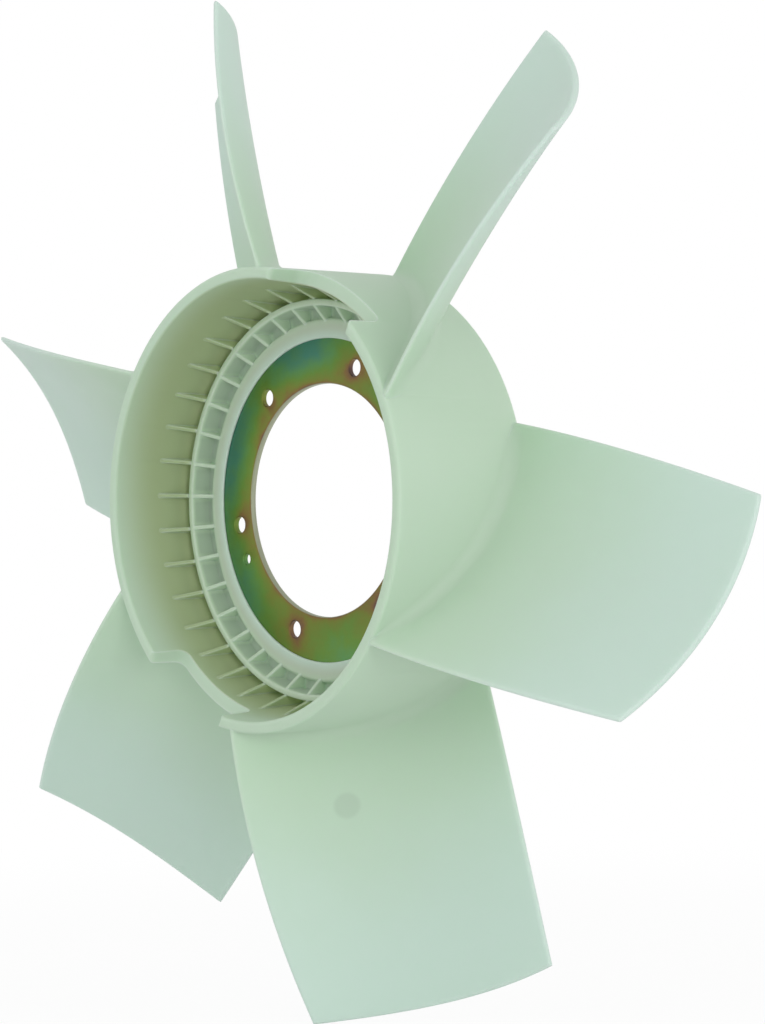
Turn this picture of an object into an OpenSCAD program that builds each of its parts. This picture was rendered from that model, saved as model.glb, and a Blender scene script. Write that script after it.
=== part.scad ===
// Six-blade radiator cooling fan: one nylon moulding with a steel mounting ring moulded into its hub.
// The spin axis lies along Y, the open front of the hub faces -Y, and Z is up.
// The origin is on the axis, in the plane of the front face of the steel ring.
// Every shape is drawn with its front towards +Z and its top towards +Y, and turned upright at the end.
// Angles run clockwise from the top, as seen from the front.

/* [Blades] */
// Diameter over the blade tips
fan_d = 650; // [560:1:760]
// Number of blades
blade_count = 6; // [4:1:8]
// Angle of the first blade, at the middle of its root
blade_phase = -19.5; // [-60:0.5:60]
// Angle that the tip leans clockwise from the root
blade_sweep = 2; // [-8:0.5:8]
// Chord at half span
chord_mid = 167.5; // [130:0.5:185]
// Chord at the tip
chord_tip = 153; // [110:0.5:175]
// Blade angle to the plane of rotation at the root
pitch_root = 36; // [30:0.5:45]
// Blade angle at half span
pitch_mid = 37.5; // [28:0.5:45]
// Blade angle at the tip
pitch_tip = 36; // [24:0.5:45]
// Depth of the camber at the root
camber_root = 17; // [8:0.5:28]
// Depth of the camber at half span
camber_mid = 19; // [8:0.5:26]
// Depth of the camber at the tip
camber_tip = 14.5; // [6:0.5:24]
// Distance of the middle of the chord ahead of the steel ring at half span
mid_ahead = 16; // [0:0.5:24]
// Distance of the middle of the chord ahead of the steel ring at the tip
tip_ahead = 5; // [-10:0.5:20]
// Thickness of the blade along its two long edges
blade_edge_t = 3.2; // [2:0.1:5]
// Extra thickness at mid chord, at the root
belly_root = 2.6; // [0:0.1:5]
// Extra thickness at mid chord, at the tip
belly_tip = 1; // [0:0.1:3]
// Radius of the fillet between blade and hub
root_fillet_r = 9; // [4:0.5:12]

/* [Hub] */
// Outer diameter of the hub at its front rim
hub_front_d = 291; // [280:1:330]
// Outer diameter of the hub at its rear rim
hub_rear_d = 294; // [280:1:340]
// Height of the front rim ahead of the steel ring
hub_front = 66; // [50:1:80]
// Depth of the rear rim behind the front face of the steel ring
hub_rear = 37; // [26:1:45]
// Wall of the hub at its two rims
hub_wall = 7.5; // [4:0.5:9]
// Wall of the hub at the web
web_wall = 12; // [9:0.5:13]
// Rounding of the rims
rim_round = 2; // [1:0.25:2.5]

/* [Rim notches] */
// Number of notches in the front rim
notch_count = 2; // [1:1:4]
// Width of a notch
notch_w = 80; // [50:1:100]
// Depth of a notch
notch_depth = 27; // [15:1:34]
// Radius of its two inner corners
notch_corner_r = 7; // [3:0.5:12]
// Angle of the first notch
notch_phase = 29; // [0:0.1:90]

/* [Web and ring wall] */
// Width of the nylon lip that overlaps the edge of the steel ring
lip_w = 8; // [4:0.5:12]
// Height of the flange round the window, ahead of the steel ring
flange_h = 1.5; // [0.8:0.1:3]
// Width of the flange outside the steel ring
flange_over = 5; // [3:0.5:8]
// Thickness of the web
web_t = 5; // [4:0.5:7]
// Width of the pockets between flange and ring wall
pocket_w = 7.3; // [5:0.1:9]
// Thickness of the ring wall
ring_wall_t = 4.2; // [3:0.1:5]
// Height of the ring wall ahead of the steel ring
ring_h = 12; // [8:0.5:18]

/* [Ribs] */
// Number of radial ribs at the front
rib_count = 36; // [12:6:48]
// Number of radial ribs at the rear
rear_rib_count = 18; // [6:6:36]
// Thickness of a rib
rib_t = 2.5; // [2:0.1:4]
// Angle of the first rib
rib_phase = 3.5; // [0:0.1:10]
// Height of a front rib on the hub wall, ahead of the steel ring
rib_top = 32; // [22:0.5:40]
// Length of a front rib's foot on the flange
rib_foot = 3; // [1:0.25:6]
// Depth of a rear rib on the hub wall, behind the web
rear_rib_top = 16; // [8:0.5:18]

/* [Steel ring] */
// Thickness of the steel ring
insert_t = 4; // [3:0.5:6]
// Outer diameter of the steel ring
insert_d = 224; // [212:1:230]
// Pilot bore
bore_d = 150; // [140:0.5:160]
// Bolt circle
bolt_pcd = 178; // [170:0.5:184]
// Number of bolt holes
bolt_count = 6; // [4:1:8]
// Bolt hole diameter
bolt_d = 11; // [8:0.1:13]
// Angle of the first bolt hole
bolt_phase = 21.5; // [0:0.1:60]
// Locating hole diameter
dowel_d = 7; // [4:0.1:9]
// Angle of the locating hole on the bolt circle
dowel_angle = -114; // [-180:0.5:180]
// Radius of the keying notches in the outer edge of the steel ring
key_r = 3; // [2:0.25:4]
// Number of keying notches
key_count = 12; // [6:6:24]
// Thickness of nylon behind the steel ring
seat_back_t = 4; // [3:0.5:6]
// Clearance between the steel ring and its seat
seat_gap = 0.1; // [0.05:0.01:0.2]

/* [Hidden] */
nylon_color = [0.72, 0.82, 0.74];
zinc_color = [0.42, 0.50, 0.24];
turn_fn = 180;
hole_fn = 48;
overlap = 1;

tip_r = fan_d / 2;
hub_front_r = hub_front_d / 2;
hub_rear_r = hub_rear_d / 2;
hub_mid_r = (hub_front_r + hub_rear_r) / 2;
web_rear_z = -insert_t - seat_back_t;
web_front_z = web_rear_z + web_t;
window_r = insert_d / 2 - lip_w;
flange_r = insert_d / 2 + flange_over;
ring_inner_r = flange_r + pocket_w;
ring_r = ring_inner_r + ring_wall_t;
window_chamfer = flange_h / 2;

// Chordwise and spanwise division of a blade
chord_steps = 11;
span_steps = 8;
fillet_steps = 4;
nose_angles = [0, 35, 65];
nose_ratio = 1.4;
flare_power = 6;
station_power = 1.5;
corner_steps = 4;
root_sink = 0.5;
root_embed = hub_wall / 2;
// Distance of the root corners from the two rims
root_margin_front = 0.5;
root_margin_rear = 2;
root_extent = hub_front + hub_rear - root_margin_front - root_margin_rear;
root_ahead = hub_front - root_margin_front - root_extent / 2;
chord_root = root_extent / sin(pitch_root);
span = tip_r - hub_mid_r;

// Value at share s of the span, from its root, middle and tip values
function along(v, s) = v[0] * (1 - s) * (1 - 2 * s) + 4 * v[1] * s * (1 - s) + v[2] * s * (2 * s - 1);
function chord(s) = along([chord_root, chord_mid, chord_tip], s);
function pitch(s) = along([pitch_root, pitch_mid, pitch_tip], s);
function camber(s) = along([camber_root, camber_mid, camber_tip], s);
function belly(s) = belly_root + (belly_tip - belly_root) * s;
function ahead(s) = along([root_ahead, mid_ahead, tip_ahead], s);
function stack(s) = blade_phase + blade_sweep * s;

// Outer radius of the hub at height z
function hub_r(z) = hub_rear_r + (hub_front_r - hub_rear_r) * (z + hub_rear) / (hub_front + hub_rear);

// Inner radius of the hub at height z: the wall grows evenly from both rims to the web
function web_share(z) =
    z > web_front_z ? (hub_front - z) / (hub_front - web_front_z)
    : z > web_rear_z ? 1
    : (hub_rear + z) / (hub_rear + web_rear_z);
function inner_r(z) = hub_r(z) - hub_wall - (web_wall - hub_wall) * web_share(z);

// Share of the chord taken by each rounded edge
function nose(s) = nose_ratio * blade_edge_t / 2 / chord(s);
// Half of the thickness at place u of the chord, from -0.5 at the rear edge to 0.5 at the front edge
function round_off(x) = x >= 1 ? 1 : sqrt(max(0, 1 - (1 - x) * (1 - x)));
function half_t(u, s) =
    blade_edge_t / 2 * round_off((0.5 - abs(u)) / nose(s)) + belly(s) / 2 * (1 - 4 * u * u);
// Extra half thickness of the root fillet at distance d from the hub
function fillet(d) =
    d >= root_fillet_r ? 0
    : root_fillet_r - sqrt(root_fillet_r * root_fillet_r - pow(root_fillet_r - max(d, 0), 2));
function flare(d, u) = fillet(d) * (1 - pow(2 * abs(u), flare_power));

// One point of the blade skin: distance d from the hub, place u of the chord, side 1 at the back, -1 in front
function skin(d, u, side) =
    let (s = max(d, 0) / span,
         c = chord(s),
         slope = -8 * camber(s) * u / c,
         lean = 1 / sqrt(1 + slope * slope),
         h = side * (half_t(u, s) + flare(d, u)),
         a = u * c - h * slope * lean,
         n = camber(s) * (1 - 4 * u * u) + h * lean,
         z = ahead(s) + a * sin(pitch(s)) - n * cos(pitch(s)),
         arc = a * cos(pitch(s)) + n * sin(pitch(s)),
         angle = stack(s) + arc / (hub_mid_r + max(d, 0)) * 180 / PI,
         r = d < 0 ? hub_r(z) + d : hub_r(z) + s * (tip_r - hub_r(z)))
    [r * sin(angle), r * cos(angle), z];

// Places along the chord, from the front edge to the rear edge
function chord_places(s) =
    let (e = nose(s))
    concat([for (a = nose_angles) 0.5 - e * (1 - cos(a))],
           [for (i = [0 : chord_steps]) (0.5 - e) * (1 - 2 * i / chord_steps)],
           [for (i = [len(nose_angles) - 1 : -1 : 0]) e * (1 - cos(nose_angles[i])) - 0.5]);

// Distances from the hub of the blade's sections
function stations() =
    concat([-root_embed, -root_sink],
           [for (i = [1 : fillet_steps]) root_fillet_r * pow(i / fillet_steps, station_power)],
           [for (i = [1 : span_steps]) root_fillet_r + (span - root_fillet_r) * i / span_steps]);

// Closed outline of the section at distance d: out along the back and home along the front
function section(d) =
    let (places = chord_places(max(d, 0) / span), last = len(places) - 1)
    concat([for (i = [0 : last]) skin(d, places[i], 1)],
           [for (i = [last - 1 : -1 : 1]) skin(d, places[i], -1)]);

// Two triangles of the band between two neighbouring sections of n points
function band(j, i, n) =
    let (k = (i + 1) % n, a = j * n, b = (j + 1) * n)
    [[a + i, b + k, a + k], [a + i, b + i, b + k]];
// Strip of triangles that closes a section whose first point has the number a
function cap(a, n) =
    let (half = n / 2)
    concat([[a, a + 1, a + n - 1]],
           [for (i = [1 : half - 2], t = [0, 1])
               t == 0 ? [a + i, a + i + 1, a + n - i] : [a + i + 1, a + n - i - 1, a + n - i]],
           [[a + half - 1, a + half, a + half + 1]]);
function flipped(faces) = [for (f = faces) [f[2], f[1], f[0]]];

module blade() {
    rings = [for (d = stations()) section(d)];
    n = len(rings[0]);
    last = len(rings) - 1;
    polyhedron(
        points = [for (ring = rings) each ring],
        faces = concat(
            [for (j = [0 : last - 1], i = [0 : n - 1]) each band(j, i, n)],
            cap(0, n),
            flipped(cap(last * n, n))),
        convexity = 6);
}

// Shapes repeated round the axis, the first one at the angle phase
module around(count, phase) {
    for (i = [0 : count - 1]) rotate([0, 0, -phase - i * 360 / count]) children();
}

// Points of a rounded corner with its centre at c
function corner(c, r, from, to) =
    [for (i = [0 : corner_steps])
        let (a = from + (to - from) * i / corner_steps) [c[0] + r * cos(a), c[1] + r * sin(a)]];

// Drum of the hub, slightly wider at the rear, with rounded rims and a wall that thickens towards the web
module hub_drum() {
    rotate_extrude($fn = turn_fn)
        polygon(concat(
            corner([hub_front_r - rim_round, hub_front - rim_round], rim_round, 0, 90),
            corner([hub_front_r - hub_wall + rim_round, hub_front - rim_round], rim_round, 90, 180),
            [[inner_r(web_front_z), web_front_z], [inner_r(web_rear_z), web_rear_z]],
            corner([hub_rear_r - hub_wall + rim_round, rim_round - hub_rear], rim_round, 180, 270),
            corner([hub_rear_r - rim_round, rim_round - hub_rear], rim_round, 270, 360)));
}

// Web with the flange round the window and the ring wall, as one turned profile
module hub_web() {
    web_r = hub_r(web_rear_z) - hub_wall / 2;
    rotate_extrude($fn = turn_fn)
        polygon([
            [window_r, web_rear_z], [web_r, web_rear_z], [web_r, web_front_z],
            [ring_r, web_front_z], [ring_r, ring_h], [ring_inner_r, ring_h], [ring_inner_r, web_front_z],
            [flange_r, web_front_z], [flange_r, flange_h],
            [window_r + window_chamfer, flange_h], [window_r, flange_h - window_chamfer]]);
}

// One front rib: a short step over the flange, across the ring wall and up the hub wall
module front_rib() {
    wall_r = inner_r(rib_top);
    rotate([90, 0, 90])
        translate([0, 0, -rib_t / 2])
            linear_extrude(rib_t)
                polygon([
                    [flange_r - rib_foot, web_front_z - overlap],
                    [flange_r - rib_foot, flange_h - overlap],
                    [ring_inner_r, ring_h - overlap / 2],
                    [ring_r, ring_h - overlap / 2],
                    [wall_r, rib_top],
                    [wall_r + overlap, rib_top],
                    [inner_r(web_front_z) + overlap, web_front_z - overlap]]);
}

// One rear rib: a gusset between the back of the web and the hub wall
module rear_rib() {
    foot_z = web_rear_z - rear_rib_top;
    rotate([90, 0, 90])
        translate([0, 0, -rib_t / 2])
            linear_extrude(rib_t)
                polygon([
                    [flange_r, web_rear_z + overlap],
                    [flange_r, web_rear_z - overlap],
                    [inner_r(foot_z), foot_z],
                    [inner_r(foot_z) + overlap, foot_z],
                    [inner_r(web_rear_z) + overlap, web_rear_z + overlap]]);
}

// Space cut out of the front rim by one notch
module rim_notch() {
    floor_z = hub_front - notch_depth;
    reach = hub_rear_r - ring_r;
    translate([0, ring_r, 0])
        rotate([-90, 0, 0])
            linear_extrude(reach + overlap) {
                translate([-notch_w / 2, -hub_front - overlap])
                    square([notch_w, notch_depth + overlap - notch_corner_r]);
                translate([notch_corner_r - notch_w / 2, -floor_z - notch_corner_r])
                    square([notch_w - 2 * notch_corner_r, notch_corner_r]);
                for (side = [-1, 1])
                    translate([side * (notch_w / 2 - notch_corner_r), -floor_z - notch_corner_r])
                        circle(r = notch_corner_r, $fn = hole_fn);
            }
}

// Blank of the steel ring; grow > 0 gives the seat that holds it
module insert_blank(grow = 0) {
    difference() {
        translate([0, 0, -insert_t - grow])
            cylinder(d = insert_d + 2 * grow, h = insert_t + 2 * grow, $fn = turn_fn);
        around(key_count, bolt_phase)
            translate([0, insert_d / 2, -insert_t - grow - overlap])
                cylinder(r = key_r - grow, h = insert_t + 2 * (grow + overlap), $fn = hole_fn);
    }
}

module fan_moulding() {
    color(nylon_color)
        rotate([90, 0, 0]) {
            difference() {
                union() {
                    hub_drum();
                    hub_web();
                    around(rib_count, rib_phase) front_rib();
                    around(rear_rib_count, rib_phase) rear_rib();
                }
                insert_blank(seat_gap);
                around(notch_count, notch_phase) rim_notch();
            }
            around(blade_count, 0) blade();
        }
}

module insert_ring() {
    color(zinc_color)
        rotate([90, 0, 0])
            difference() {
                insert_blank();
                translate([0, 0, -insert_t - overlap])
                    cylinder(d = bore_d, h = insert_t + 2 * overlap, $fn = turn_fn);
                around(bolt_count, bolt_phase)
                    translate([0, bolt_pcd / 2, -insert_t - overlap])
                        cylinder(d = bolt_d, h = insert_t + 2 * overlap, $fn = hole_fn);
                around(1, dowel_angle)
                    translate([0, bolt_pcd / 2, -insert_t - overlap])
                        cylinder(d = dowel_d, h = insert_t + 2 * overlap, $fn = hole_fn);
            }
}

fan_moulding();
insert_ring();
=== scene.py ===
"""Cooling fan: the looks of one nylon moulding and its steel mounting ring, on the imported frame.

Sizes are in millimetres, as a fan maker writes them, and become metres when a mesh is finished.
A place is given as on the drawing: its radius from the spin axis, its angle clockwise from the top
as seen from the open front of the hub, and its height ahead of the front face of the steel ring.
"""

import logging
import math
from dataclasses import dataclass, field
from enum import Enum

import bmesh
import bpy
from mathutils import Matrix, Vector

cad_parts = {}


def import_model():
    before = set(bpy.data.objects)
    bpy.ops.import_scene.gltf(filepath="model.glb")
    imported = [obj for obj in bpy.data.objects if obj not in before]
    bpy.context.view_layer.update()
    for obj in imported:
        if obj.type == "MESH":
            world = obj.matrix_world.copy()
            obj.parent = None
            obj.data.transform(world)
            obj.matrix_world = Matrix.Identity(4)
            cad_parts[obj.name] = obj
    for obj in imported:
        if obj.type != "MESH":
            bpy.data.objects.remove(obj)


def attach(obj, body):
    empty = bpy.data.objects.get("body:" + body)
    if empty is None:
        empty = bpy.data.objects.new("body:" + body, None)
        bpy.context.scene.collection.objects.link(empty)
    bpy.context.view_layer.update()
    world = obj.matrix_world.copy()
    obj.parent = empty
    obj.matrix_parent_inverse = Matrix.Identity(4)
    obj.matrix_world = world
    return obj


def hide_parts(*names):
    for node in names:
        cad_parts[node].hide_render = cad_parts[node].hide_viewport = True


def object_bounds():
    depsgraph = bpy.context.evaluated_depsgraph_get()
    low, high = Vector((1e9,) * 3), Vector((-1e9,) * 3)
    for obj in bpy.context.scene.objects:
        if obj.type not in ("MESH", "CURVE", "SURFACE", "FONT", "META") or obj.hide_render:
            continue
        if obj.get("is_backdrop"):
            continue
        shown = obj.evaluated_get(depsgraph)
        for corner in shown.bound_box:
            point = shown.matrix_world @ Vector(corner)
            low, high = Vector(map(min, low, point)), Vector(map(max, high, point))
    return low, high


MM = 0.001
# Below these distances, in millimetres, two corners are one: in a blank, and in a joined piece.
MERGE = 1e-4
WELD = 1e-3
SPIN_AXIS = Vector((0, 1, 0))
WHITE = (1.0, 1.0, 1.0, 1.0)
Pair = tuple[float, float]
Faces = list[bmesh.types.BMFace]
Values = dict[str | int, object]
log = logging.getLogger("cooling_fan")


class Slot(Enum):
    """Material slots of the record."""

    NYLON = "nylon"
    STEEL = "zinc_plated_steel"


class Bool(Enum):
    """What another object does to a piece."""

    JOIN = "UNION"
    CUT = "DIFFERENCE"


def at(radius: float, angle: float, height: float) -> Vector:
    """Place of a drawing point in the row frame, in millimetres.

    Args:
        radius: distance from the spin axis.
        angle: degrees clockwise from the top, seen from the front.
        height: distance ahead of the front face of the steel ring.

    Returns:
        The point, with the spin axis along Y.
    """
    turn = math.radians(angle)
    return Vector((radius * math.sin(turn), -height, radius * math.cos(turn)))


def along(values: tuple[float, float, float], share: float) -> float:
    """Value at a share of the span, on the parabola through three values.

    Args:
        values: the values at the root, in the middle and at the tip.
        share: share of the span, from 0 at the root to 1 at the tip.

    Returns:
        The value.
    """
    root, middle, tip = values
    return (
        root * (1 - share) * (1 - 2 * share)
        + 4 * middle * share * (1 - share)
        + tip * share * (2 * share - 1)
    )


def round_off(share: float) -> float:
    """Height of a quarter round at a share of its width."""
    return 1.0 if share >= 1 else math.sqrt(max(0.0, 1 - (1 - share) ** 2))


class Blank:
    """A bmesh in work, in millimetres, with the operations that the fan's pieces need."""

    def __init__(self, name: str) -> None:
        """Starts an empty mesh under the name of its piece."""
        self.name = name
        self.bm = bmesh.new()

    def outline(self, points: list[Pair], rounds: list[float], steps: int = 4) -> Faces:
        """Lays a closed outline in the plane through the axis and the top, and rounds its corners.

        Args:
            points: radius and height of each corner, in order.
            rounds: radius of each corner; 0 leaves it sharp.
            steps: segments of a rounded corner.

        Returns:
            The face inside the outline, in a list.
        """
        corners = [self.bm.verts.new(at(r, 0, h)) for r, h in points]
        self.bm.faces.new(corners)
        for corner, radius in zip(corners, rounds):
            if radius > 0:
                bmesh.ops.bevel(
                    self.bm, geom=[corner], offset=radius * self._setback(corner), segments=steps,
                    profile=0.5, affect="VERTICES", material=-1,
                )
        return list(self.bm.faces)

    @staticmethod
    def _setback(corner: bmesh.types.BMVert) -> float:
        """Share of its radius by which a corner's arc starts before the corner."""
        legs = [edge.other_vert(corner).co - corner.co for edge in corner.link_edges]
        return 1 / math.tan(legs[0].angle(legs[1]) / 2)

    def turn(self, steps: int) -> "Blank":
        """Turns the outline's edges once round the spin axis into a closed ring.

        Args:
            steps: segments of the full turn.

        Returns:
            This blank.
        """
        bmesh.ops.delete(self.bm, geom=self.bm.faces[:], context="FACES_ONLY")
        bmesh.ops.spin(
            self.bm, geom=self.bm.verts[:] + self.bm.edges[:], cent=(0, 0, 0), axis=SPIN_AXIS,
            angle=math.tau, steps=steps, use_merge=True,
        )
        bmesh.ops.recalc_face_normals(self.bm, faces=self.bm.faces)
        return self

    def thicken(self, faces: Faces, thickness: float) -> "Blank":
        """Gives flat faces a thickness, half of it to each side.

        Args:
            faces: the faces to extrude.
            thickness: the whole thickness.

        Returns:
            This blank.
        """
        bmesh.ops.translate(self.bm, verts=self.bm.verts, vec=(-thickness / 2, 0, 0))
        grown = bmesh.ops.extrude_face_region(self.bm, geom=faces)["geom"]
        lifted = [item for item in grown if isinstance(item, bmesh.types.BMVert)]
        bmesh.ops.translate(self.bm, verts=lifted, vec=(thickness, 0, 0))
        bmesh.ops.recalc_face_normals(self.bm, faces=self.bm.faces)
        return self

    def soften(self, radius: float, steps: int = 2) -> "Blank":
        """Rounds every edge of the blank.

        Args:
            radius: radius of the rounding.
            steps: segments of the rounding.

        Returns:
            This blank.
        """
        bmesh.ops.bevel(
            self.bm, geom=self.bm.edges[:], offset=radius, segments=steps, profile=0.5,
            affect="EDGES", material=-1,
        )
        return self

    def place(self, angle: float) -> "Blank":
        """Turns the blank clockwise round the spin axis.

        Args:
            angle: degrees, as on the drawing.

        Returns:
            This blank.
        """
        turned = Matrix.Rotation(math.radians(angle), 3, "Y")
        bmesh.ops.rotate(self.bm, verts=self.bm.verts, cent=(0, 0, 0), matrix=turned)
        return self

    def repeat(self, count: int) -> "Blank":
        """Copies the blank evenly round the spin axis.

        Args:
            count: number of copies in a full turn, this one included.

        Returns:
            This blank.
        """
        bmesh.ops.spin(
            self.bm, geom=self.bm.verts[:] + self.bm.edges[:] + self.bm.faces[:], cent=(0, 0, 0),
            axis=SPIN_AXIS, angle=math.tau * (count - 1) / count, steps=count - 1, use_duplicate=True,
        )
        return self

    def finish(self) -> bpy.types.Object:
        """Makes the blank an object of the scene, in metres.

        Returns:
            The object; the blank can't be used after it.
        """
        bmesh.ops.remove_doubles(self.bm, verts=self.bm.verts, dist=MERGE)
        bmesh.ops.scale(self.bm, verts=self.bm.verts, vec=(MM, MM, MM))
        mesh = bpy.data.meshes.new(self.name)
        self.bm.to_mesh(mesh)
        self.bm.free()
        piece = bpy.data.objects.new(self.name, mesh)
        bpy.context.scene.collection.objects.link(piece)
        return piece


def combine(piece: bpy.types.Object, other: bpy.types.Object, how: Bool) -> None:
    """Joins another closed object to a piece, or cuts it out, and removes the other one.

    Args:
        piece: the object that is kept, with a new mesh.
        other: the object that is joined or cut out.
        how: what is done.
    """
    tool = piece.modifiers.new(how.name, "BOOLEAN")
    tool.operation = how.value
    tool.solver = "MANIFOLD"
    tool.object = other
    evaluated = piece.evaluated_get(bpy.context.evaluated_depsgraph_get())
    mesh = bpy.data.meshes.new_from_object(evaluated)
    piece.modifiers.remove(tool)
    old, piece.data = piece.data, mesh
    bpy.data.meshes.remove(old)
    bpy.data.objects.remove(other)


def weld(piece: bpy.types.Object) -> None:
    """Merges the corners that a join leaves almost in one place.

    Args:
        piece: the joined object.
    """
    bm = bmesh.new()
    bm.from_mesh(piece.data)
    bmesh.ops.remove_doubles(bm, verts=bm.verts, dist=WELD * MM)
    bm.to_mesh(piece.data)
    bm.free()


def smooth(piece: bpy.types.Object, crease: float) -> None:
    """Shades a piece smooth, with sharp edges where its faces meet at more than an angle.

    Args:
        piece: the object.
        crease: the angle, in degrees.
    """
    piece.data.polygons.foreach_set("use_smooth", [True] * len(piece.data.polygons))
    piece.data.set_sharp_from_angle(angle=math.radians(crease))


@dataclass(frozen=True)
class Tint:
    """A colour as it is seen on the screen, each part from 0 to 255."""

    red: float
    green: float
    blue: float

    def linear(self) -> tuple[float, float, float, float]:
        """The colour in linear light, with full alpha."""
        parts = (self.red / 255, self.green / 255, self.blue / 255)
        return (*(c / 12.92 if c <= 0.04045 else ((c + 0.055) / 1.055) ** 2.4 for c in parts), 1.0)


Colour = Tint | bpy.types.NodeSocket


class Signal:
    """A shader socket that adds Math nodes when it is used in an expression."""

    def __init__(self, sheet: "NodeSheet", socket: bpy.types.NodeSocket) -> None:
        """Wraps an output socket of a node sheet."""
        self.sheet = sheet
        self.socket = socket

    def __add__(self, other: "Signal | float") -> "Signal":
        """Sum."""
        return self.sheet.math("ADD", self, other)

    def __radd__(self, other: float) -> "Signal":
        """Sum with a number in front."""
        return self.sheet.math("ADD", other, self)

    def __sub__(self, other: "Signal | float") -> "Signal":
        """Difference."""
        return self.sheet.math("SUBTRACT", self, other)

    def __mul__(self, other: "Signal | float") -> "Signal":
        """Product."""
        return self.sheet.math("MULTIPLY", self, other)

    def __truediv__(self, other: "Signal | float") -> "Signal":
        """Quotient."""
        return self.sheet.math("DIVIDE", self, other)

    def __pow__(self, other: "Signal | float") -> "Signal":
        """Power."""
        return self.sheet.math("POWER", self, other)


Place = tuple[Signal, Signal, Signal]


@dataclass(frozen=True)
class Grain:
    """A smooth noise on Object coordinates: features per metre, octaves, strength of the finer ones."""

    scale: float
    detail: float
    roughness: float


class NodeSheet:
    """The node tree of one material or world, and the ways to add nodes to it.

    A rounded edge begins and is full where the cosine of its lean has the two values of edge_lean.
    """

    edge_lean: Pair = (0.998, 0.86)
    edge_samples: int = 4

    def __init__(self, owner: bpy.types.Material | bpy.types.World) -> None:
        """Empties the tree of a new material or world.

        Args:
            owner: the material or world.
        """
        self.owner = owner
        owner.use_nodes = True
        self.tree = owner.node_tree
        self.tree.nodes.clear()

    @classmethod
    def for_material(cls, name: str) -> "NodeSheet":
        """Sheet of a new material."""
        return cls(bpy.data.materials.new(name))

    def node(
        self, kind: str, settings: Values | None = None, inputs: Values | None = None
    ) -> bpy.types.Node:
        """Adds one node.

        Args:
            kind: the node's type, without its ShaderNode prefix.
            settings: attributes of the node, set before its sockets.
            inputs: a value, Signal or socket for each named or numbered input.

        Returns:
            The new node.
        """
        node = self.tree.nodes.new("ShaderNode" + kind)
        for name, value in (settings or {}).items():
            if name == "stops":
                self._set_stops(node.color_ramp, value)
            else:
                setattr(node, name, value)
        for key, value in (inputs or {}).items():
            socket = node.inputs[key]
            source = value.socket if isinstance(value, Signal) else value
            if isinstance(source, bpy.types.NodeSocket):
                self.tree.links.new(source, socket)
            else:
                socket.default_value = source
        return node

    @staticmethod
    def _set_stops(ramp: bpy.types.ColorRamp, stops: list[tuple[float, Tint]]) -> None:
        """Gives a colour ramp its stops.

        Args:
            ramp: the ramp of a new node.
            stops: place and colour of each stop, from first to last.
        """
        while len(ramp.elements) < len(stops):
            ramp.elements.new(1.0)
        for element, (place, tint) in zip(ramp.elements, stops):
            element.position = place
            element.color = tint.linear()

    def math(self, operation: str, *values: Signal | float) -> Signal:
        """Adds a Math node on up to three values."""
        node = self.node("Math", {"operation": operation}, dict(enumerate(values)))
        return Signal(self, node.outputs[0])

    def step(self, value: Signal, low: float, high: float) -> Signal:
        """Rises smoothly from 0 at low to 1 at high.

        Args:
            value: what is compared with the two ends.
            low: the value that gives 0.
            high: the value that gives 1; it may lie below the other one.

        Returns:
            The share, from 0 to 1.
        """
        settings = {"interpolation_type": "SMOOTHSTEP", "clamp": True}
        flip = low > high
        ends = {"Value": value, "From Min": min(low, high), "From Max": max(low, high)}
        ends |= {"To Min": 1.0 if flip else 0.0, "To Max": 0.0 if flip else 1.0}
        return Signal(self, self.node("MapRange", settings, ends).outputs["Result"])

    def place(self) -> Place:
        """The place of the shaded point in the row frame.

        Returns:
            Its distances across, along the axis and up, in metres.
        """
        coords = self.node("TexCoord").outputs["Object"]
        split = self.node("SeparateXYZ", inputs={0: coords})
        return tuple(Signal(self, split.outputs[i]) for i in range(3))

    def noise(self, grain: Grain) -> Signal:
        """Smooth noise.

        Args:
            grain: how coarse and how rough it is.

        Returns:
            The noise, about 0.5.
        """
        coords = self.node("TexCoord").outputs["Object"]
        inputs = {"Vector": coords, "Scale": grain.scale, "Detail": grain.detail}
        inputs["Roughness"] = grain.roughness
        return Signal(self, self.node("TexNoise", inputs=inputs).outputs[0])

    def mix(self, share: Signal | float, first: Colour, second: Colour) -> bpy.types.NodeSocket:
        """Mixes two colours.

        Args:
            share: share of the second colour.
            first: a Tint or a colour socket.
            second: a Tint or a colour socket.

        Returns:
            The mixed colour's socket.
        """
        ends = [end.linear() if isinstance(end, Tint) else end for end in (first, second)]
        node = self.node("Mix", {"data_type": "RGBA"}, {"Factor": share, 6: ends[0], 7: ends[1]})
        return node.outputs[2]

    def ramp(self, value: Signal, stops: list[tuple[float, Tint]]) -> bpy.types.NodeSocket:
        """Colour of a value between the stops of a ramp."""
        return self.node("ValToRGB", {"stops": stops}, {0: value}).outputs[0]

    def rounded(self, radius: float) -> bpy.types.NodeSocket:
        """Normal of the surface with its edges rounded to a radius, in metres."""
        return self.node("Bevel", {"samples": self.edge_samples}, {"Radius": radius}).outputs[0]

    def bend(self, normal: bpy.types.NodeSocket) -> Signal:
        """How far a rounded normal leans from the surface's own.

        Args:
            normal: the rounded normal.

        Returns:
            0 on the flat, up to 1 on an edge.
        """
        own = self.node("NewGeometry").outputs["Normal"]
        dot = self.node("VectorMath", {"operation": "DOT_PRODUCT"}, {0: own, 1: normal}).outputs["Value"]
        return self.step(Signal(self, dot), *self.edge_lean)

    def bump(
        self, height: Signal, distance: float, strength: float, normal: bpy.types.NodeSocket
    ) -> bpy.types.NodeSocket:
        """Normal of a surface with a fine relief.

        Args:
            height: relief, from 0 to 1.
            distance: height of the relief at 1, in metres.
            strength: share of the effect.
            normal: normal under the relief.

        Returns:
            The normal's socket.
        """
        inputs = {"Height": height, "Distance": distance, "Strength": strength, "Normal": normal}
        return self.node("Bump", inputs=inputs).outputs[0]

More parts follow.
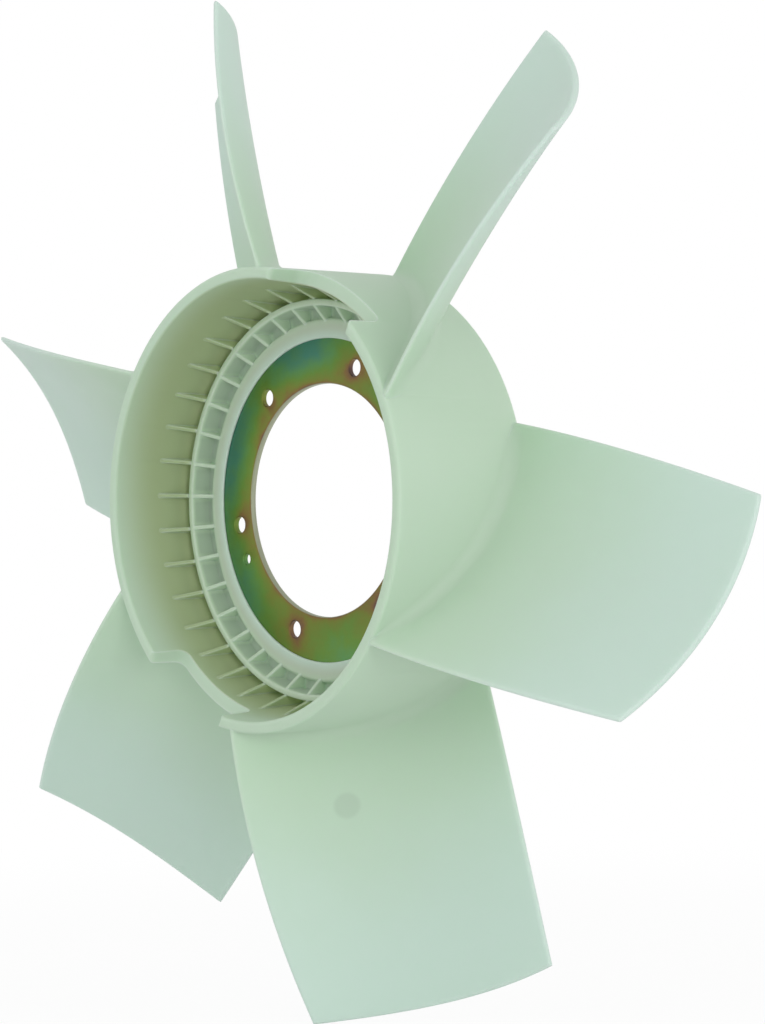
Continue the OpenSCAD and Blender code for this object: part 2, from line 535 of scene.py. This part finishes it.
    def output(self, surface: bpy.types.NodeSocket) -> bpy.types.Material | bpy.types.World:
        """Links the surface shader to the tree's output.

        Args:
            surface: output socket of the surface or background shader.

        Returns:
            The finished material or world.
        """
        kind = "OutputWorld" if isinstance(self.owner, bpy.types.World) else "OutputMaterial"
        self.node(kind, inputs={"Surface": surface})
        return self.owner


@dataclass(frozen=True)
class NaturalNylon:
    """Milky natural nylon, pale green, cooler towards the blade tips, with painted olive shade inside the
    deep drum.

    Sizes are in metres, as Object coordinates are, so heights count backwards from the steel ring's face.
    A pair of radii or heights is where a tint begins and where it is full.
    """

    root: Tint = Tint(195, 217, 195)
    tip: Tint = Tint(202, 221, 211)
    web: Tint = Tint(201, 220, 197)
    # Painted shade: the darker colour in the pockets between the ribs.
    pocket: Tint = Tint(181, 200, 180)
    # Painted highlight: pale cyan-green on the lip round the window.
    lip: Tint = Tint(208, 238, 218)
    # Painted shade: the darker olive deep inside the drum.
    olive_shade: Tint = Tint(172, 188, 146)
    # Painted glow: lighter yellow-green low in the channel between the ring wall and the drum.
    channel_glow: Tint = Tint(204, 220, 170)
    # Painted highlight: the paler colour on rounded edges.
    edge: Tint = Tint(220, 233, 228)
    stain: Tint = Tint(180, 200, 182)
    hub_radius: float = 0.150
    cool_radius: float = 0.300
    drum_radius: float = 0.1346
    drum_slope: float = 0.0507
    ring_radius: float = 0.1280
    shade_heights: Pair = (-0.069, -0.031)
    shade_sag: float = 0.08
    shade_curve: float = 0.8
    drum_skin: Pair = (0.0009, 0.0003)
    glow_heights: Pair = (-0.018, -0.002)
    web_heights: Pair = (0.0065, 0.0045)
    web_radii: Pair = (0.1295, 0.1285)
    ring_foot: float = 0.0015
    ring_blend: float = 0.001
    rib_count: int = 36
    rib_angle: float = 3.5
    rib_margin: Pair = (0.0016, 0.0050)
    pocket_shade_radii: Pair = (0.1168, 0.1190)
    pocket_shade_heights: Pair = (-0.0112, -0.0080)
    lip_highlight_radii: Pair = (0.1120, 0.1040)
    stain_place: tuple[float, float, float] = (0.0507, -0.0333, -0.188)
    stain_reach: Pair = (0.0221, 0.0209)
    stain_share: float = 0.5
    edge_round: float = 0.0015
    edge_highlight_share: float = 0.7
    cloud: Grain = Grain(9.0, 3.0, 0.55)
    cloud_drift: float = 0.08
    texture: Grain = Grain(900.0, 2.0, 0.5)
    texture_height: float = 0.00006
    texture_share: float = 0.35
    shine: Grain = Grain(30.0, 2.0, 0.5)
    roughness: Pair = (0.40, 0.14)
    specular: float = 0.4
    milk: float = 0.6
    milk_depth: float = 0.006
    milk_colour: tuple[float, float, float] = (0.88, 1.0, 0.9)

    def _drum_shade(self, sheet: NodeSheet, radius: Signal, deep: Signal, up: Signal) -> Signal:
        """Share of painted shade on the surface inside the drum and outside the ring wall.

        Args:
            sheet: the material's sheet.
            radius: distance from the spin axis.
            deep: distance behind the front face of the steel ring.
            up: height above the spin axis.

        Returns:
            0 at the mouth, up to 1 of painted shade deep inside.
        """
        wall = sheet.step(radius + deep * self.drum_slope - self.drum_radius, *self.drum_skin)
        ring = sheet.step(radius, self.ring_radius, self.ring_radius + self.ring_foot)
        # Painted shade grows with depth behind the mouth, and starts nearer the mouth at the top of the
        # drum than at the bottom.
        thickness = sheet.step(deep + up * self.shade_sag, *self.shade_heights) ** self.shade_curve
        return wall * ring * thickness * sheet.step(deep, *self.web_heights)

    def _pocket_shade(self, sheet: NodeSheet, place: Place, radius: Signal) -> Signal:
        """Share of painted shade in a pocket between two ribs, away from the ribs' feet.

        Args:
            sheet: the material's sheet.
            place: the shaded point.
            radius: its distance from the spin axis.

        Returns:
            1, full painted shade, on the floor and walls of a pocket, else 0.
        """
        across, deep, up = place
        pitch = math.tau / self.rib_count
        angle = sheet.math("ARCTAN2", across, up) - math.radians(self.rib_angle) + pitch / 2
        aside = sheet.math("ABSOLUTE", sheet.math("FLOORED_MODULO", angle, pitch) - pitch / 2) * radius
        ring = sheet.step(radius, *self.pocket_shade_radii)
        ring = ring * sheet.step(radius, self.ring_radius, self.ring_radius - self.ring_blend)
        floor = sheet.step(deep, *self.pocket_shade_heights) * sheet.step(deep, *self.web_heights)
        return ring * floor * sheet.step(aside, *self.rib_margin)

    def _stained(self, sheet: NodeSheet, place: Place) -> Signal:
        """A faint round stain on one blade, cut from the blade's face by a ball.

        Args:
            sheet: the material's sheet.
            place: the shaded point.

        Returns:
            1 in the stain, else 0.
        """
        parts = [(part - middle) * (part - middle) for part, middle in zip(place, self.stain_place)]
        reach = sheet.math("SQRT", parts[0] + parts[1] + parts[2])
        return sheet.step(reach, *self.stain_reach)

    def material(self) -> bpy.types.Material:
        """Builds the material.

        Returns:
            The finished material.
        """
        sheet = NodeSheet.for_material("natural_nylon")
        place = sheet.place()
        across, deep, up = place
        radius = sheet.math("SQRT", across * across + up * up)
        drift = (sheet.noise(self.cloud) - 0.5) * self.cloud_drift
        cool = sheet.step(radius + drift, self.hub_radius, self.cool_radius)
        colour = sheet.mix(cool, self.root, self.tip)
        colour = sheet.mix(sheet.step(radius, *self.web_radii), colour, self.web)
        # Painted shade in the pockets between the ribs.
        colour = sheet.mix(self._pocket_shade(sheet, place, radius), colour, self.pocket)
        # Painted highlight on the lip round the window.
        colour = sheet.mix(sheet.step(radius, *self.lip_highlight_radii), colour, self.lip)
        # Painted glow at the bottom of the channel, over the painted olive shade.
        shade_and_glow = sheet.mix(sheet.step(deep, *self.glow_heights), self.olive_shade, self.channel_glow)
        # Painted shade: darker olive laid over the deep inside of the drum.
        colour = sheet.mix(self._drum_shade(sheet, radius, deep, up), colour, shade_and_glow)
        colour = sheet.mix(self._stained(sheet, place) * self.stain_share, colour, self.stain)
        rounded = sheet.rounded(self.edge_round)
        # Painted highlight: paler colour where the rounded normal bends over an edge.
        colour = sheet.mix(sheet.bend(rounded) * self.edge_highlight_share, colour, self.edge)
        least, spread = self.roughness
        relief = sheet.noise(self.texture)
        surface = sheet.node(
            "BsdfPrincipled",
            inputs={
                "Base Color": colour,
                "Roughness": least + sheet.noise(self.shine) * spread,
                "Subsurface Weight": self.milk,
                "Subsurface Radius": self.milk_colour,
                "Subsurface Scale": self.milk_depth,
                "Specular IOR Level": self.specular,
                "Normal": sheet.bump(relief, self.texture_height, self.texture_share, rounded),
            },
        )
        return sheet.output(surface.outputs[0])


@dataclass(frozen=True)
class PassivatedZinc:
    """Zinc with a rainbow passivation: brown at its edges, then green and teal, and pale in the bore.

    Sizes are in metres and angles in degrees clockwise from the top. The film's thickness, which picks the
    colour from the bands, grows with the distance from the holes and the bore.
    """

    bands: tuple[tuple[float, Tint], ...] = (
        (0.03, Tint(112, 84, 80)),
        (0.15, Tint(136, 108, 66)),
        (0.28, Tint(126, 134, 60)),
        (0.48, Tint(108, 146, 66)),
        (0.70, Tint(98, 150, 92)),
        (0.95, Tint(80, 140, 124)),
    )
    wall: Tint = Tint(168, 172, 148)
    wall_radii: Pair = (0.0756, 0.0752)
    bore_radius: float = 0.075
    hole_circle: float = 0.089
    hole_radius: float = 0.0055
    hole_count: int = 6
    hole_phase: float = 21.5
    reach: float = 0.026
    hole_share: float = 0.64
    bore_share: float = 3.0
    guard: float = 1e-6
    film_curve: float = 0.6
    film_share: float = 0.74
    cloud: Grain = Grain(38.0, 4.0, 0.6)
    cloud_share: float = 0.7
    teal_side: float = -56.0
    teal_span: Pair = (-0.1, 0.8)
    teal_radii: Pair = (0.080, 0.095)
    teal_share: float = 0.34
    edge_round: float = 0.0004
    brushing: Grain = Grain(260.0, 3.0, 0.6)
    brushing_height: float = 0.00003
    brushing_share: float = 0.3
    roughness: Pair = (0.34, 0.16)
    metal: float = 0.75

    def material(self) -> bpy.types.Material:
        """Builds the material.

        Returns:
            The finished material.
        """
        sheet = NodeSheet.for_material("passivated_zinc")
        across, _, up = sheet.place()
        radius = sheet.math("SQRT", across * across + up * up)
        angle = sheet.math("ARCTAN2", across, up)
        pitch = math.tau / self.hole_count
        turned = angle - math.radians(self.hole_phase) + pitch / 2
        folded = sheet.math("FLOORED_MODULO", turned, pitch) - pitch / 2
        side = radius * sheet.math("SINE", folded)
        ahead = radius * sheet.math("COSINE", folded) - self.hole_circle
        to_hole = sheet.math("SQRT", side * side + ahead * ahead) - self.hole_radius
        to_hole = sheet.math("MAXIMUM", to_hole, 0.0) * self.hole_share
        to_bore = sheet.math("MAXIMUM", radius - self.bore_radius, 0.0) * self.bore_share
        edge = to_hole * to_bore / (to_hole + to_bore + self.guard)
        film = (edge / self.reach) ** self.film_curve * self.film_share
        film = film + (sheet.noise(self.cloud) - 0.5) * self.cloud_share
        facing = sheet.math("COSINE", angle - math.radians(self.teal_side))
        teal = sheet.step(facing, *self.teal_span) * sheet.step(radius, *self.teal_radii)
        colour = sheet.ramp(film + teal * self.teal_share, list(self.bands))
        colour = sheet.mix(sheet.step(radius, *self.wall_radii), colour, self.wall)
        brushed = sheet.noise(self.brushing)
        least, spread = self.roughness
        rounded = sheet.rounded(self.edge_round)
        surface = sheet.node(
            "BsdfPrincipled",
            inputs={
                "Base Color": colour,
                "Metallic": self.metal,
                "Roughness": least + brushed * spread,
                "Normal": sheet.bump(brushed, self.brushing_height, self.brushing_share, rounded),
            },
        )
        return sheet.output(surface.outputs[0])


@dataclass(frozen=True)
class StudioWhite:
    """Pale sweep under and behind the fan, which the camera sees almost white and with a faint shadow.

    The veil is the share of plain white over the paint; between the radii of the fade it grows to 1.
    """

    paint: Tint = Tint(247, 247, 247)
    veil: float = 0.93
    fade: Pair = (0.35, 0.95)

    def material(self) -> bpy.types.Material:
        """Builds the material.

        Returns:
            The finished material.
        """
        sheet = NodeSheet.for_material("studio_white")
        rays = sheet.node("LightPath").outputs
        camera, glossy, through = (
            Signal(sheet, rays[name]) for name in ("Is Camera Ray", "Is Glossy Ray", "Is Transmission Ray")
        )
        across, along_axis, _ = sheet.place()
        far = sheet.step(sheet.math("SQRT", across * across + along_axis * along_axis), *self.fade)
        seen = sheet.math("MAXIMUM", sheet.math("MAXIMUM", camera, glossy), through)
        seen = seen * (self.veil + far * (1 - self.veil))
        paint = sheet.node("BsdfDiffuse", inputs={"Color": self.paint.linear()})
        glow = sheet.node("Emission", inputs={"Color": WHITE, "Strength": 1.0})
        surface = sheet.node("MixShader", inputs={0: seen, 1: paint.outputs[0], 2: glow.outputs[0]})
        return sheet.output(surface.outputs[0])


@dataclass
class Hub:
    """Drum, web, ring wall and ribs of the moulding.

    Parts that are joined reach into one another by sink, and the notch cutters clear the rim by skim.
    """

    front_radius: float = 145.5
    rear_radius: float = 147.0
    front: float = 66.0
    rear: float = -37.0
    wall: float = 7.5
    web_wall: float = 12.0
    rim_round: float = 2.2
    notch_angle: float = 29.0
    notch_width: float = 80.0
    notch_depth: float = 27.0
    notch_corner: float = 7.0
    notch_end: float = 3.5
    notch_brim: float = 10.5
    insert_radius: float = 112.0
    insert_thickness: float = 4.0
    seat_gap: float = 0.1
    lip: float = 8.0
    flange_over: float = 5.0
    flange_height: float = 1.5
    pocket: float = 7.3
    ring_wall: float = 4.2
    ring_height: float = 12.0
    web_rear: float = -8.0
    web: float = 5.0
    rib: float = 2.5
    rib_soft: float = 0.45
    rib_count: int = 36
    rear_rib_count: int = 18
    rib_angle: float = 3.5
    rib_top: float = 32.0
    rib_foot: float = 3.0
    rear_rib_depth: float = 16.0
    sink: float = 1.0
    skim: float = 0.01
    web_rounds: tuple[float, ...] = (0.8, 0, 0, 1.2, 1.0, 1.0, 1.2, 1.2, 2.6, 0.9, 0.3, 0, 0, 0.5)
    notch_count: int = 2
    notch_steps: int = 8
    turn_steps: int = 360

    def radius(self, height: float) -> float:
        """Outer radius of the drum at a height."""
        share = (height - self.rear) / (self.front - self.rear)
        return self.rear_radius + (self.front_radius - self.rear_radius) * share

    def inner(self, height: float) -> float:
        """Inner radius of the drum at a height.

        Args:
            height: height on the drawing.

        Returns:
            The radius; the wall grows evenly from both rims to the web.
        """
        from_front = (self.front - height) / (self.front - self.web_front)
        from_rear = (height - self.rear) / (self.web_rear - self.rear)
        share = min(1.0, from_front, from_rear)
        return self.radius(height) - self.wall - (self.web_wall - self.wall) * share

    @property
    def window(self) -> float:
        """Radius of the window that shows the steel ring."""
        return self.insert_radius - self.lip

    @property
    def flange(self) -> float:
        """Outer radius of the flange."""
        return self.insert_radius + self.flange_over

    @property
    def ring_inner(self) -> float:
        """Inner radius of the ring wall."""
        return self.flange + self.pocket

    @property
    def ring_outer(self) -> float:
        """Outer radius of the ring wall."""
        return self.ring_inner + self.ring_wall

    @property
    def web_front(self) -> float:
        """Height of the front face of the web."""
        return self.web_rear + self.web

    def drum(self) -> bpy.types.Object:
        """Turned wall of the drum, with rounded rims.

        Returns:
            The wall.
        """
        blank = Blank("drum")
        points = [(self.front_radius, self.front), (self.rear_radius, self.rear)]
        heights = (self.rear, self.web_rear, self.web_front, self.front)
        points += [(self.inner(height), height) for height in heights]
        blank.outline(points, [self.rim_round] * 3 + [0, 0, self.rim_round])
        return blank.turn(self.turn_steps).finish()

    def web_ring(self) -> bpy.types.Object:
        """Turned web with the groove for the steel ring, the flange and the ring wall.

        Returns:
            The web.
        """
        blank = Blank("web_ring")
        gap = self.seat_gap
        groove = self.insert_radius + gap
        back = -self.insert_thickness - gap
        web_r = self.radius(self.web_rear) - self.wall / 2
        points = [
            (self.window, self.web_rear), (web_r, self.web_rear), (web_r, self.web_front),
            (self.ring_outer, self.web_front), (self.ring_outer, self.ring_height),
            (self.ring_inner, self.ring_height), (self.ring_inner, self.web_front),
            (self.flange, self.web_front), (self.flange, self.flange_height),
            (self.window, self.flange_height), (self.window, gap), (groove, gap),
            (groove, back), (self.window, back),
        ]
        blank.outline(points, list(self.web_rounds))
        return blank.turn(self.turn_steps).finish()

    def front_ribs(self) -> bpy.types.Object:
        """Ribs that step over the flange and the ring wall and run up the inside of the drum.

        Returns:
            All front ribs.
        """
        top = self.inner(self.rib_top)
        foot = self.inner(self.web_front) + self.sink
        points = [
            (self.flange - self.rib_foot, self.web_front - self.sink),
            (self.flange - self.rib_foot, self.flange_height - self.sink),
            (self.ring_inner, self.ring_height - self.sink / 2),
            (self.ring_outer, self.ring_height - self.sink / 2),
            (top, self.rib_top),
            (top + self.sink, self.rib_top),
            (foot, self.web_front - self.sink),
        ]
        blank = Blank("front_ribs")
        faces = blank.outline(points, [0] * len(points))
        blank.thicken(faces, self.rib).soften(self.rib_soft)
        return blank.place(self.rib_angle).repeat(self.rib_count).finish()

    def rear_ribs(self) -> bpy.types.Object:
        """Gussets between the back of the web and the drum.

        Returns:
            All rear ribs.
        """
        foot = self.web_rear - self.rear_rib_depth
        points = [
            (self.flange, self.web_rear + self.sink),
            (self.flange, self.web_rear - self.sink),
            (self.inner(foot), foot),
            (self.inner(foot) + self.sink, foot),
            (self.inner(self.web_rear) + self.sink, self.web_rear + self.sink),
        ]
        blank = Blank("rear_ribs")
        faces = blank.outline(points, [0] * len(points))
        blank.thicken(faces, self.rib).soften(self.rib_soft)
        return blank.place(self.rib_angle).repeat(self.rear_rib_count).finish()

    def notch_cutter(self) -> bpy.types.Object:
        """The two blocks that cut the notches out of the front rim, with rounded corners and ends.

        Returns:
            Both blocks.
        """
        blank = Blank("notch_cutter")
        reach = self.rear_radius + self.wall - self.ring_outer
        side = self.notch_width / 2
        brim = side + self.notch_brim
        floor, mouth, top = self.front - self.notch_depth, self.front + self.skim, self.front + self.sink
        half = [(side, floor), (side, mouth), (brim, mouth), (brim, top)]
        points = half + [(-across, height) for across, height in reversed(half)]
        rounds = [self.notch_corner, self.notch_end, 0, 0]
        faces = blank.outline(points, rounds + rounds[::-1], self.notch_steps)
        blank.thicken(faces, reach).place(90)
        bmesh.ops.translate(blank.bm, verts=blank.bm.verts, vec=at(self.ring_outer + reach / 2, 0, 0))
        return blank.place(self.notch_angle).repeat(self.notch_count).finish()


@dataclass
class Blades:
    """Six twisted and cambered blades with fillets at their roots.

    Three values hold at the root, in the middle and at the tip. The chord and its height ahead have only
    the last two, because the drum gives the first. The belly has one for the root and one for the tip.
    """

    hub: Hub
    count: int = 6
    tip_radius: float = 325.0
    phase: float = -19.5
    sweep: float = 2.0
    chord: Pair = (167.5, 153.0)
    pitch: tuple[float, float, float] = (36.0, 37.5, 36.0)
    camber: tuple[float, float, float] = (17.0, 19.0, 14.5)
    ahead: Pair = (16.0, 5.0)
    edge: float = 3.2
    belly: Pair = (2.6, 1.0)
    nose_ratio: float = 1.4
    fillet: float = 9.0
    flare_power: float = 6.0
    margins: Pair = (0.5, 2.0)
    tip_round: float = 1.5
    sink: float = 0.5
    around: int = 96
    seam: float = 1e-3
    fillet_steps: int = 9
    fillet_power: float = 1.7
    span_steps: int = 40
    tip_steps: int = 5

    def __post_init__(self) -> None:
        """Works out the sizes that follow from the hub."""
        hub = self.hub
        extent = hub.front - hub.rear - sum(self.margins)
        self.middle_radius = (hub.front_radius + hub.rear_radius) / 2
        self.span = self.tip_radius - self.middle_radius
        self.chords = (extent / math.sin(math.radians(self.pitch[0])), *self.chord)
        self.aheads = (hub.front - self.margins[0] - extent / 2, *self.ahead)
        self.stations = self._stations()

    def _stations(self) -> list[float]:
        """Where the rings of points stand along a blade.

        Returns:
            Their distances from the hub, from inside its wall to the tip.
        """
        steps = range(1, self.fillet_steps + 1)
        root = [self.fillet * (i / self.fillet_steps) ** self.fillet_power for i in steps]
        straight = self.span - self.tip_round - self.fillet
        blade = [self.fillet + straight * i / self.span_steps for i in range(1, self.span_steps + 1)]
        arc = [math.sin(math.pi / 2 * i / self.tip_steps) for i in range(1, self.tip_steps + 1)]
        tip = [self.span - self.tip_round + self.tip_round * a for a in arc]
        return [-self.hub.wall / 2, -self.sink, *root, *blade, *tip]

    def _half_thickness(self, u: float, distance: float, share: float, chord: float) -> float:
        """Half of the thickness at a place of the blade, with its root fillet and rounded edges.

        Args:
            u: place across the chord, from -0.5 to 0.5.
            distance: distance from the hub.
            share: that distance as a share of the span.
            chord: length of the chord there.

        Returns:
            The half thickness.
        """
        nose = self.nose_ratio * self.edge / 2 / chord
        belly = self.belly[0] + (self.belly[1] - self.belly[0]) * share
        half = self.edge / 2 * round_off((0.5 - abs(u)) / nose) + belly / 2 * (1 - 4 * u * u)
        half *= round_off((self.span - distance) / self.tip_round)
        if distance < self.fillet:
            rest = self.fillet - max(distance, 0.0)
            flare = self.fillet - math.sqrt(self.fillet**2 - rest**2)
            half += flare * (1 - (2 * abs(u)) ** self.flare_power)
        return half

    def skin(self, turn: float, distance: float) -> Vector:
        """One point of the blade's skin.

        Args:
            turn: share of the way round a section, from the front edge over the back and home.
            distance: distance from the hub; the first station lies in the hub's wall.

        Returns:
            The point, in the row frame.
        """
        hub = self.hub
        u = 0.5 * math.cos(math.tau * turn)
        side = 1 if turn <= 0.5 else -1
        share = max(distance, 0.0) / self.span
        chord, camber = along(self.chords, share), along(self.camber, share)
        pitch = math.radians(along(self.pitch, share))
        slope = -8 * camber * u / chord
        lean = 1 / math.sqrt(1 + slope * slope)
        closed = distance <= self.stations[0]
        half = 0.0 if closed else side * self._half_thickness(u, distance, share, chord)
        forward = u * chord - half * slope * lean
        out = camber * (1 - 4 * u * u) + half * lean
        height = along(self.aheads, share) + forward * math.sin(pitch) - out * math.cos(pitch)
        arc = forward * math.cos(pitch) + out * math.sin(pitch)
        angle = self.phase + self.sweep * share
        angle += math.degrees(arc / (self.middle_radius + max(distance, 0.0)))
        root = hub.radius(height)
        radius = root + distance if distance < 0 else root + share * (self.tip_radius - root)
        return at(radius, angle, height)

    def build(self) -> bpy.types.Object:
        """Lays a grid round each blade and closes its seam.

        Returns:
            All blades, as one mesh of closed shells.
        """
        blank = Blank("blades")
        rows = len(self.stations) - 1
        bmesh.ops.create_grid(blank.bm, x_segments=self.around, y_segments=rows, size=0.5)
        for vert in blank.bm.verts:
            turn, row = vert.co.x + 0.5, round((vert.co.y + 0.5) * rows)
            vert.co = self.skin(turn, self.stations[row])
        bmesh.ops.remove_doubles(blank.bm, verts=blank.bm.verts, dist=self.seam)
        bmesh.ops.recalc_face_normals(blank.bm, faces=blank.bm.faces)
        bmesh.ops.triangulate(blank.bm, faces=blank.bm.faces)
        return blank.repeat(self.count).finish()


@dataclass
class Moulding:
    """The nylon moulding: hub and blades in one piece."""

    hub: Hub = field(default_factory=Hub)
    finish: NaturalNylon = field(default_factory=NaturalNylon)
    crease: float = 32.0

    def build(self) -> bpy.types.Object:
        """Joins the parts of the moulding, dresses it and sets it on the frame.

        Returns:
            The finished piece.
        """
        hub = self.hub
        piece = hub.drum()
        for part in (hub.web_ring(), hub.front_ribs(), hub.rear_ribs()):
            combine(piece, part, Bool.JOIN)
        combine(piece, hub.notch_cutter(), Bool.CUT)
        combine(piece, Blades(hub).build(), Bool.JOIN)
        weld(piece)
        piece.name = piece.data.name = "nylon_moulding"
        smooth(piece, self.crease)
        piece.data.materials.clear()
        piece.data.materials.append(self.finish.material())
        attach(piece, "root")
        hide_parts("fan_moulding")
        return piece


@dataclass
class MountingRing:
    """The flat steel ring in the hub, with its bore, bolt holes and locating hole.

    The drills stand past the ring's faces by clear.
    """

    radius: float = 112.0
    bore: float = 75.0
    thickness: float = 4.0
    bolt_circle: float = 89.0
    bolt_hole: float = 5.5
    bolt_count: int = 6
    bolt_angle: float = 21.5
    locating_hole: float = 3.5
    locating_angle: float = -114.0
    chamfer: float = 0.5
    clear: float = 1.0
    crease: float = 30.0
    chamfer_steps: int = 2
    turn_steps: int = 360
    hole_steps: int = 48
    finish: PassivatedZinc = field(default_factory=PassivatedZinc)

    def _blank(self) -> bpy.types.Object:
        """Turned blank of the ring, with broken edges.

        Returns:
            The blank.
        """
        blank = Blank("mounting_ring")
        rear = -self.thickness
        outline = [(self.bore, 0), (self.radius, 0), (self.radius, rear), (self.bore, rear)]
        blank.outline(outline, [self.chamfer] * len(outline), self.chamfer_steps)
        return blank.turn(self.turn_steps).finish()

    def _drill(self, radius: float, angle: float, count: int) -> bpy.types.Object:
        """Cutter for a ring of holes with broken edges.

        Args:
            radius: radius of a hole.
            angle: angle of the first hole.
            count: number of holes in a full turn.

        Returns:
            The cutter.
        """
        blank = Blank("drill")
        wide, rear = radius + self.chamfer + self.clear, -self.thickness
        points = [(0, self.clear), (wide, self.clear), (radius, -self.chamfer)]
        points += [(radius, rear + self.chamfer), (wide, rear - self.clear), (0, rear - self.clear)]
        blank.outline(points, [0] * len(points))
        blank.turn(self.hole_steps)
        bmesh.ops.translate(blank.bm, verts=blank.bm.verts, vec=at(self.bolt_circle, 0, 0))
        blank.place(angle)
        if count > 1:
            blank.repeat(count)
        return blank.finish()

    def build(self) -> bpy.types.Object:
        """Drills the ring, dresses it and sets it on the frame.

        Returns:
            The finished piece.
        """
        piece = self._blank()
        combine(piece, self._drill(self.bolt_hole, self.bolt_angle, self.bolt_count), Bool.CUT)
        combine(piece, self._drill(self.locating_hole, self.locating_angle, 1), Bool.CUT)
        piece.name = piece.data.name = "mounting_ring"
        smooth(piece, self.crease)
        piece.data.materials.clear()
        piece.data.materials.append(self.finish.material())
        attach(piece, "root")
        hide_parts("insert_ring")
        return piece


@dataclass(frozen=True)
class SoftBox:
    """A square lamp that faces the middle of the fan: its place and side in metres, its power in watts."""

    name: str
    place: tuple[float, float, float]
    side: float
    power: float

    def hang(self) -> None:
        """Hangs the lamp in the scene."""
        data = bpy.data.lights.new(self.name, "AREA")
        data.size = self.side
        data.energy = self.power
        lamp = bpy.data.objects.new(self.name, data)
        lamp.location = self.place
        lamp.rotation_mode = "QUATERNION"
        lamp.rotation_quaternion = Vector(self.place).to_track_quat("Z", "Y")
        bpy.context.scene.collection.objects.link(lamp)


@dataclass
class Studio:
    """Floor, lamps, white surroundings and the camera of the photograph.

    The camera's slide, distance and film are in millimetres, and its focal length is in pixels of the
    picture. The floor, the lamps and the clipping distances are in metres.
    """

    floor_height: float
    floor_size: float = 14.0
    world_light: float = 0.745
    azimuth: float = 48.34
    elevation: float = -1.34
    roll: float = -1.41
    slide: Pair = (37.53, -7.5)
    distance: float = 1509.87
    focal_pixels: float = 2351.84
    picture_height: float = 1024.0
    film: float = 36.0
    clip: Pair = (0.05, 50.0)
    lamps: tuple[SoftBox, ...] = (
        SoftBox("key", (2.4, -1.0, 0.2), 1.0, 10.5),
        SoftBox("rim", (3.0, 0.9, 0.5), 1.6, 6.5),
        SoftBox("fill", (-0.6, -3.0, 1.2), 2.4, 8.0),
    )
    finish: StudioWhite = field(default_factory=StudioWhite)

    def camera(self) -> None:
        """Sets the camera at the photograph's place."""
        turn, tilt, roll = (math.radians(a) for a in (self.azimuth, self.elevation, self.roll))
        back = Vector((math.sin(turn) * math.cos(tilt), -math.cos(turn) * math.cos(tilt), math.sin(tilt)))
        level = Vector((math.cos(turn), math.sin(turn), 0))
        upright = back.cross(level)
        right = level * math.cos(roll) + upright * math.sin(roll)
        above = upright * math.cos(roll) - level * math.sin(roll)
        place = (right * self.slide[0] + above * self.slide[1] + back * self.distance) * MM
        data = bpy.data.cameras.new("camera")
        data.sensor_width = self.film
        data.lens = self.film * self.focal_pixels / self.picture_height
        data.clip_start, data.clip_end = self.clip
        camera = bpy.data.objects.new("camera", data)
        facing = Matrix((right, above, back)).transposed().to_4x4()
        camera.matrix_world = Matrix.Translation(place) @ facing
        bpy.context.scene.collection.objects.link(camera)
        bpy.context.scene.camera = camera

    def floor(self) -> None:
        """Lays the pale floor under the fan."""
        blank = Blank("floor")
        bmesh.ops.create_grid(blank.bm, x_segments=1, y_segments=1, size=self.floor_size / 2 / MM)
        bmesh.ops.translate(blank.bm, verts=blank.bm.verts, vec=(0, 0, self.floor_height / MM))
        floor = blank.finish()
        floor.data.materials.append(self.finish.material())
        floor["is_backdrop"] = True

    def world(self) -> None:
        """Surrounds the fan with soft white light, which the camera sees as plain white."""
        sheet = NodeSheet(bpy.data.worlds.new("studio"))
        light, seen = (
            sheet.node("Background", inputs={"Color": WHITE, "Strength": strength}).outputs[0]
            for strength in (self.world_light, 1.0)
        )
        camera = sheet.node("LightPath").outputs["Is Camera Ray"]
        surface = sheet.node("MixShader", inputs={0: camera, 1: light, 2: seen}).outputs[0]
        bpy.context.scene.world = sheet.output(surface)

    def build(self) -> None:
        """Builds the whole studio."""
        self.camera()
        self.floor()
        self.world()
        for lamp in self.lamps:
            lamp.hang()
        bpy.context.scene.view_settings.view_transform = "Standard"


def main() -> None:
    """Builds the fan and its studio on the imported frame."""
    logging.basicConfig(level=logging.INFO, format="%(message)s")
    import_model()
    cad_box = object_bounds()
    for part in (Moulding(), MountingRing()):
        piece = part.build()
        log.info("%s: %d faces", piece.name, len(piece.data.polygons))
    Studio(floor_height=cad_box[0].z).build()


if __name__ == "__main__":
    main()
